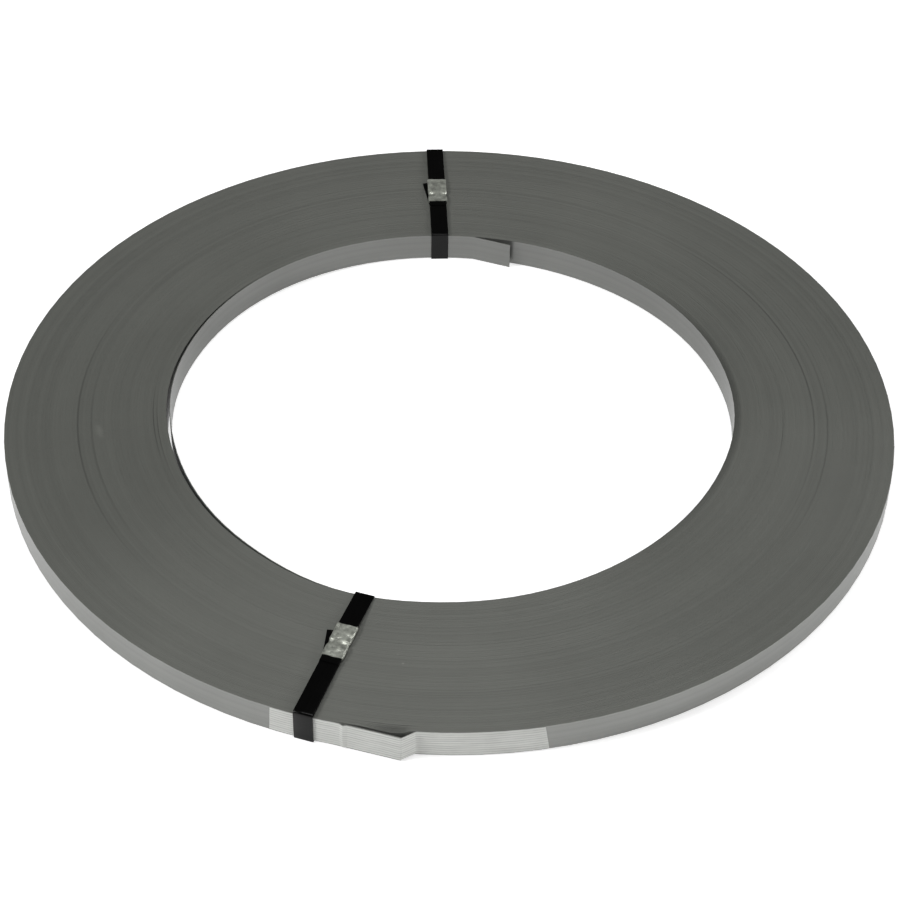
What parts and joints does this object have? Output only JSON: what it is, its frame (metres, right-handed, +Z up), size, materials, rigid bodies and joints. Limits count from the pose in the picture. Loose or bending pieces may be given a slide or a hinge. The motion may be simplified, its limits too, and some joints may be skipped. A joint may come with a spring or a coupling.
{
  "type": "roll of steel strapping",
  "caption": "Flat ribbon-wound roll of steel strapping with an open bore, held by black strap ties with crimped seals and light filament tape over the outer end.",
  "frame": {"origin": "on the roll's axis, on the surface that it lies on", "axes": "+Z up along the roll's axis; -Y towards the taped outer end and the front tie; +X to the right seen from there"},
  "size_m": [0.6, 0.6054, 0.0239],
  "materials": {
    "steel_strip": "plain grey rolled strip, dull, darker on the cut edges",
    "tie_strap": "black plastic strap with a faint grain",
    "seal_metal": "bright crimped sheet metal",
    "filament_tape": "whitish tape with fibres along it"
  },
  "bodies": {
    "root": {"strapping_coil": "steel_strip", "back_tie": "tie_strap", "front_tie": "tie_strap", "back_seal": "seal_metal", "front_seal": "seal_metal", "end_tape": "filament_tape"}
  },
  "joints": []
}
